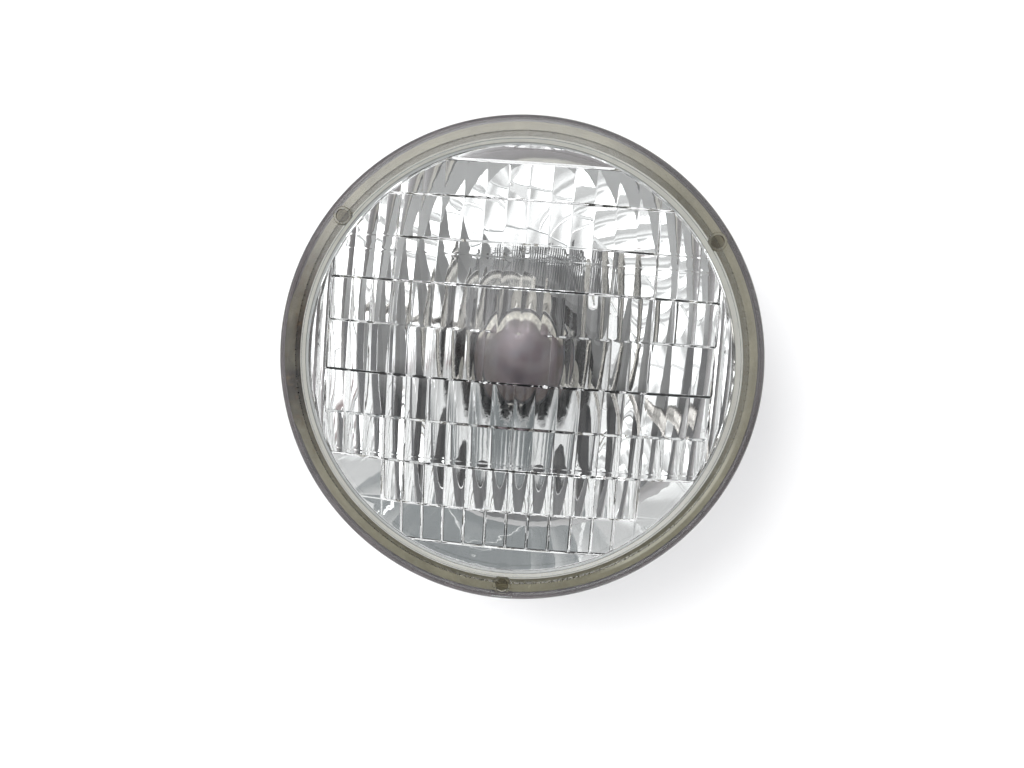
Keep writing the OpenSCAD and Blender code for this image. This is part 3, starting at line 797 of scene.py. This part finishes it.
def reflector_profile():
    """From the bowl's vertex over land, groove and rim to the back."""
    steps = 72
    radii = [BOWL_OPEN_R * i / steps for i in range(steps + 1)]
    inner = [(r, bowl_z(r)) for r in radii]
    groove_z, flat = SEAT_T - GROOVE_DEPTH, LAMP_R - EDGE_R
    top = [(GROOVE_R0, SEAT_T), (GROOVE_R0, groove_z), (GROOVE_R1, groove_z), (GROOVE_R1, SEAT_T)]
    edge = arc(flat, SEAT_T - EDGE_R, EDGE_R, 90, 0, 6) + arc(flat, EDGE_R, EDGE_R, 0, -90, 6)
    back = [bowl_back_point(r) for r in reversed(radii)]
    back = [p for p in back if p[1] < 0]
    foot = [(back[0][0] + 0.4, 0.0)]
    return inner + top + edge + foot + back


def cylinder(name, r, z0, z1, x, y, segments=64):
    verts, faces = revolve([(0, z0), (r, z0), (r, z1), (0, z1)], segments)
    return loose_object(name, [(a + x, b + y, c) for a, b, c in verts], faces)


def lug(angle):
    """Locating lug behind the rim, as in the CAD model."""
    a = math.radians(angle)
    inner, outer, shoulder, top = BOWL_OPEN_R - 6, BOWL_OPEN_R + 4.5, BOWL_OPEN_R + 1, SEAT_T / 2
    outline = [(inner, LUG_Z), (outer, LUG_Z), (outer, top), (shoulder, top)]
    verts = []
    for side in (-LUG_W / 2, LUG_W / 2):
        for r, z in outline:
            x = math.sqrt(r * r - side * side)
            verts.append((x * math.cos(a) - side * math.sin(a), x * math.sin(a) + side * math.cos(a), z))
    n = len(outline)
    faces = [tuple(range(n)), tuple(range(2 * n - 1, n - 1, -1))]
    faces += [(i, n + i, n + (i + 1) % n, (i + 1) % n) for i in range(n)]
    return loose_object("lug", verts, faces)


looks = (bowl_back, mirror, flange, land)
verts, faces = revolve(reflector_profile(), TURNED)
reflector = make_object("reflector_bowl", verts, faces, looks, "reflector_mirror", 30)
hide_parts("reflector")
for a in FERRULE_ANGLES:
    pad = cylinder("pad", PAD_R, PAD_Z, bowl_z(FERRULE_AT) - 1, *polar(FERRULE_AT, a))
    boolean(reflector, pad, "UNION")
    boolean(reflector, lug(a + LUG_TURN), "UNION")
for a in FERRULE_ANGLES:
    bore = cylinder("bore", FERRULE_BORE_R, PAD_Z - 1, PAD_Z + 17, *polar(FERRULE_AT, a))
    boolean(reflector, bore, "DIFFERENCE")
exhaust_bore = cylinder("exhaust_bore", EXHAUST_BORE_R, BACK_Z - 1, BACK_Z + 6, 0, 0, 32)
boolean(reflector, exhaust_bore, "DIFFERENCE")
finish_mesh(reflector, 30)
dress(reflector, *looks)
for p in reflector.data.polygons:
    x, y, z = (c / MM for c in p.center)
    r = math.hypot(x, y)
    if r < BOWL_OPEN_R and abs(z - bowl_z(r)) < 0.25 and p.normal.z > 0.2:
        look = mirror
    elif r < GROOVE_R0 and z > SEAT_T - 0.01:
        look = land
    elif r > BOWL_OPEN_R - 0.2 and z > -0.01:
        look = flange
    else:
        look = bowl_back
    p.material_index = looks.index(look)


# Adhesive: fills the groove round the tongue and has run out to the edge at the left

def adhesive_mesh():
    """Ring of the groove's section, whose outer film grows to the edge between the squeeze's angles."""
    segments = 360
    low, film_z, high = SEAT_T - GROOVE_DEPTH, SEAT_T + 0.01, LENS_Z0 - 0.004
    tongue0, tongue1, tongue_z = GROOVE_R0 + BOND, GROOVE_R1 - BOND, low + BOND
    verts, faces = [], []
    for k in range(segments):
        t = k * 360 / segments
        run = min(max((t - SQUEEZE_FROM) / 3, 0), 1) * min(max((SQUEEZE_TO - t) / 4, 0), 1)
        c, s = polar(1, t)
        wobble = noise.noise(Vector((c * 9, s * 9, 0.3)))
        out = FILM_R + run * (0.75 + 0.2 * wobble)
        section = [(GROOVE_R0, low), (GROOVE_R1, low), (GROOVE_R1, film_z), (out, film_z),
                   (out, high), (tongue1, high), (tongue1, tongue_z), (tongue0, tongue_z),
                   (tongue0, high), (GROOVE_R0, high)]
        verts += [(r * c, r * s, z) for r, z in section]
    n = len(section)
    for k in range(segments):
        a, b = k * n, (k + 1) % segments * n
        faces += [(a + i, b + i, b + (i + 1) % n, a + (i + 1) % n) for i in range(n)]
    return verts, faces


bead = make_object("adhesive_bead", *adhesive_mesh(), [adhesive], "adhesive", 40)
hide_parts("adhesive")


# Shield: fine turned sheet in place of the coarse solid

def shield_profile():
    """From the crown down the outside of the wall, and inside it back up."""
    steps = 16
    inner = SHIELD_R - SHIELD_T
    centre = FOCUS_Z + SHIELD_UP - SHIELD_DOME
    rim_z = centre + math.sqrt(SHIELD_DOME**2 - SHIELD_R**2) - SHIELD_RIM

    def cap(reach, dome):
        radii = [reach * i / steps for i in range(steps + 1)]
        return [(r, centre + math.sqrt(dome**2 - r**2)) for r in radii]

    under = cap(inner, SHIELD_DOME - SHIELD_T)
    return cap(SHIELD_R, SHIELD_DOME) + [(SHIELD_R, rim_z), (inner, rim_z)] + under[::-1]


shield = make_object("shield_cup", *revolve(shield_profile(), 128), [shield_material()], "shield_metal", 35)
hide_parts("filament_shield")

# CAD nodes that keep their shape
for name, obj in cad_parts.items():
    for key, mat in node_materials.items():
        if name.startswith(key):
            dress(obj, mat)


# Floor, world and lights

low = cad_box[0].z
bpy.ops.mesh.primitive_grid_add(size=3.0, x_subdivisions=2, y_subdivisions=2, location=(0, 0, low))
floor = bpy.context.active_object
floor.name = "table"
floor.data.materials.append(floor_material())


def build_world():
    """Studio over the lamp: rings about the axis, two darker patches, a bright one, and a dull side."""
    world = bpy.data.worlds.new("studio")
    bpy.context.scene.world = world
    world.use_nodes = True
    tree = world.node_tree
    nodes, links = tree.nodes, tree.links
    back = nodes["Background"]
    coord = nodes.new("ShaderNodeTexCoord")

    def dot(direction):
        n = nodes.new("ShaderNodeVectorMath")
        n.operation = "DOT_PRODUCT"
        n.inputs[1].default_value = Vector(direction).normalized()
        links.new(coord.outputs["Generated"], n.inputs[0])
        return n.outputs["Value"]

    def spot(value, inner, outer):
        """1 within the angle inner of a direction, 0 beyond outer."""
        n = nodes.new("ShaderNodeMapRange")
        n.interpolation_type = "SMOOTHSTEP"
        n.inputs["From Min"].default_value = math.cos(math.radians(outer))
        n.inputs["From Max"].default_value = math.cos(math.radians(inner))
        links.new(value, n.inputs["Value"])
        return n.outputs["Result"]

    def ring(direction, stops, wobble):
        """Colour by the angle from a direction, in degrees, a little uneven."""
        angle = nodes.new("ShaderNodeMath")
        angle.operation = "ARCCOSINE"
        links.new(dot(direction), angle.inputs[0])
        cloud = nodes.new("ShaderNodeTexNoise")
        cloud.inputs["Scale"].default_value = 7.0
        links.new(coord.outputs["Generated"], cloud.inputs["Vector"])
        sway = nodes.new("ShaderNodeMath")
        sway.operation = "MULTIPLY_ADD"
        sway.inputs[1].default_value = math.radians(wobble)
        links.new(cloud.outputs["Fac"], sway.inputs[0])
        links.new(angle.outputs[0], sway.inputs[2])
        ramp = nodes.new("ShaderNodeValToRGB")
        ramp.color_ramp.interpolation = "EASE"
        els = ramp.color_ramp.elements
        while len(els) < len(stops):
            els.new(0.5)
        for e, (degrees, value) in zip(els, stops):
            e.position = math.radians(degrees + wobble / 2)
            e.color = (value, value, value * 1.01, 1)
        links.new(sway.outputs[0], ramp.inputs["Fac"])
        return ramp.outputs["Color"]

    colour = ring((0, 0, 1), [
        (0, 0.72), (2.4, 0.66), (3.6, 1.3), (5.2, 1.25), (6.6, 0.62), (7.8, 0.68),
        (9.4, 1.25), (12, 1.0), (15, 0.66), (20, 0.7), (26, 1.05), (50, 1.08)], 2.0)
    for direction, inner, outer, tone in (
            ((-0.28, 0.03, 1), 3, 6, (0.34, 0.26, 0.26)), ((0.0, -0.30, 1), 7, 14, (0.24, 0.26, 0.27)),
            ((-0.14, 0.17, 1), 7, 14, (3.2, 3.2, 3.25)), ((0.9, -0.5, 0.45), 10, 30, (0.35, 0.34, 0.34))):
        colour = mix_colours(tree, spot(dot(direction), inner, outer), colour, tone)
    links.new(colour, back.inputs["Color"])
    back.inputs["Strength"].default_value = 1.0


build_world()


def add_key_light():
    """Soft light from the upper left, left out of reflections and of what is seen through glass."""
    light = bpy.data.lights.new("key", "AREA")
    light.shape, light.size, light.energy = "DISK", 0.60, 11.0
    key = bpy.data.objects.new("key", light)
    bpy.context.scene.collection.objects.link(key)
    place = Vector((-0.50, 0.54, 1.30))
    key.location = place
    key.rotation_mode = "QUATERNION"
    key.rotation_quaternion = (-place).to_track_quat("-Z", "Y")
    key.visible_glossy = False
    key.visible_transmission = False


add_key_light()


# Camera: above the rim and leaned a little towards the upper right, as measured in the photograph

def place_camera():
    width, height, sensor = 1024, 768, 36.0
    focal_px, centre_px = 993.0, (518.9, 361.1)
    roll, tilt, distance = math.radians(4.2), math.radians(4.5), 300
    centre = Vector((0, 0, 7)) * MM
    up = Vector((-math.sin(roll), math.cos(roll), 0))
    right = Vector((math.cos(roll), math.sin(roll), 0))
    toward = (right + up).normalized()
    spot = centre + (toward * math.sin(tilt) + Vector((0, 0, 1)) * math.cos(tilt)) * distance * MM
    dx, dy = (centre_px[0] - width / 2) / focal_px, (height / 2 - centre_px[1]) / focal_px

    def axes(forward):
        side = forward.cross(up).normalized()
        return side, side.cross(forward).normalized()

    aim = forward = (centre - spot).normalized()
    for _ in range(4):
        side, top = axes(forward)
        forward = (aim - side * dx - top * dy).normalized()
    side, top = axes(forward)
    data = bpy.data.cameras.new("camera")
    data.sensor_width = sensor
    data.lens = sensor * focal_px / width
    data.clip_start, data.clip_end = 0.01, 10
    cam = bpy.data.objects.new("camera", data)
    bpy.context.scene.collection.objects.link(cam)
    cam.matrix_world = Matrix((
        (side.x, top.x, -forward.x, spot.x), (side.y, top.y, -forward.y, spot.y),
        (side.z, top.z, -forward.z, spot.z), (0, 0, 0, 1)))
    bpy.context.scene.camera = cam


place_camera()
bpy.context.scene.view_settings.view_transform = "Standard"
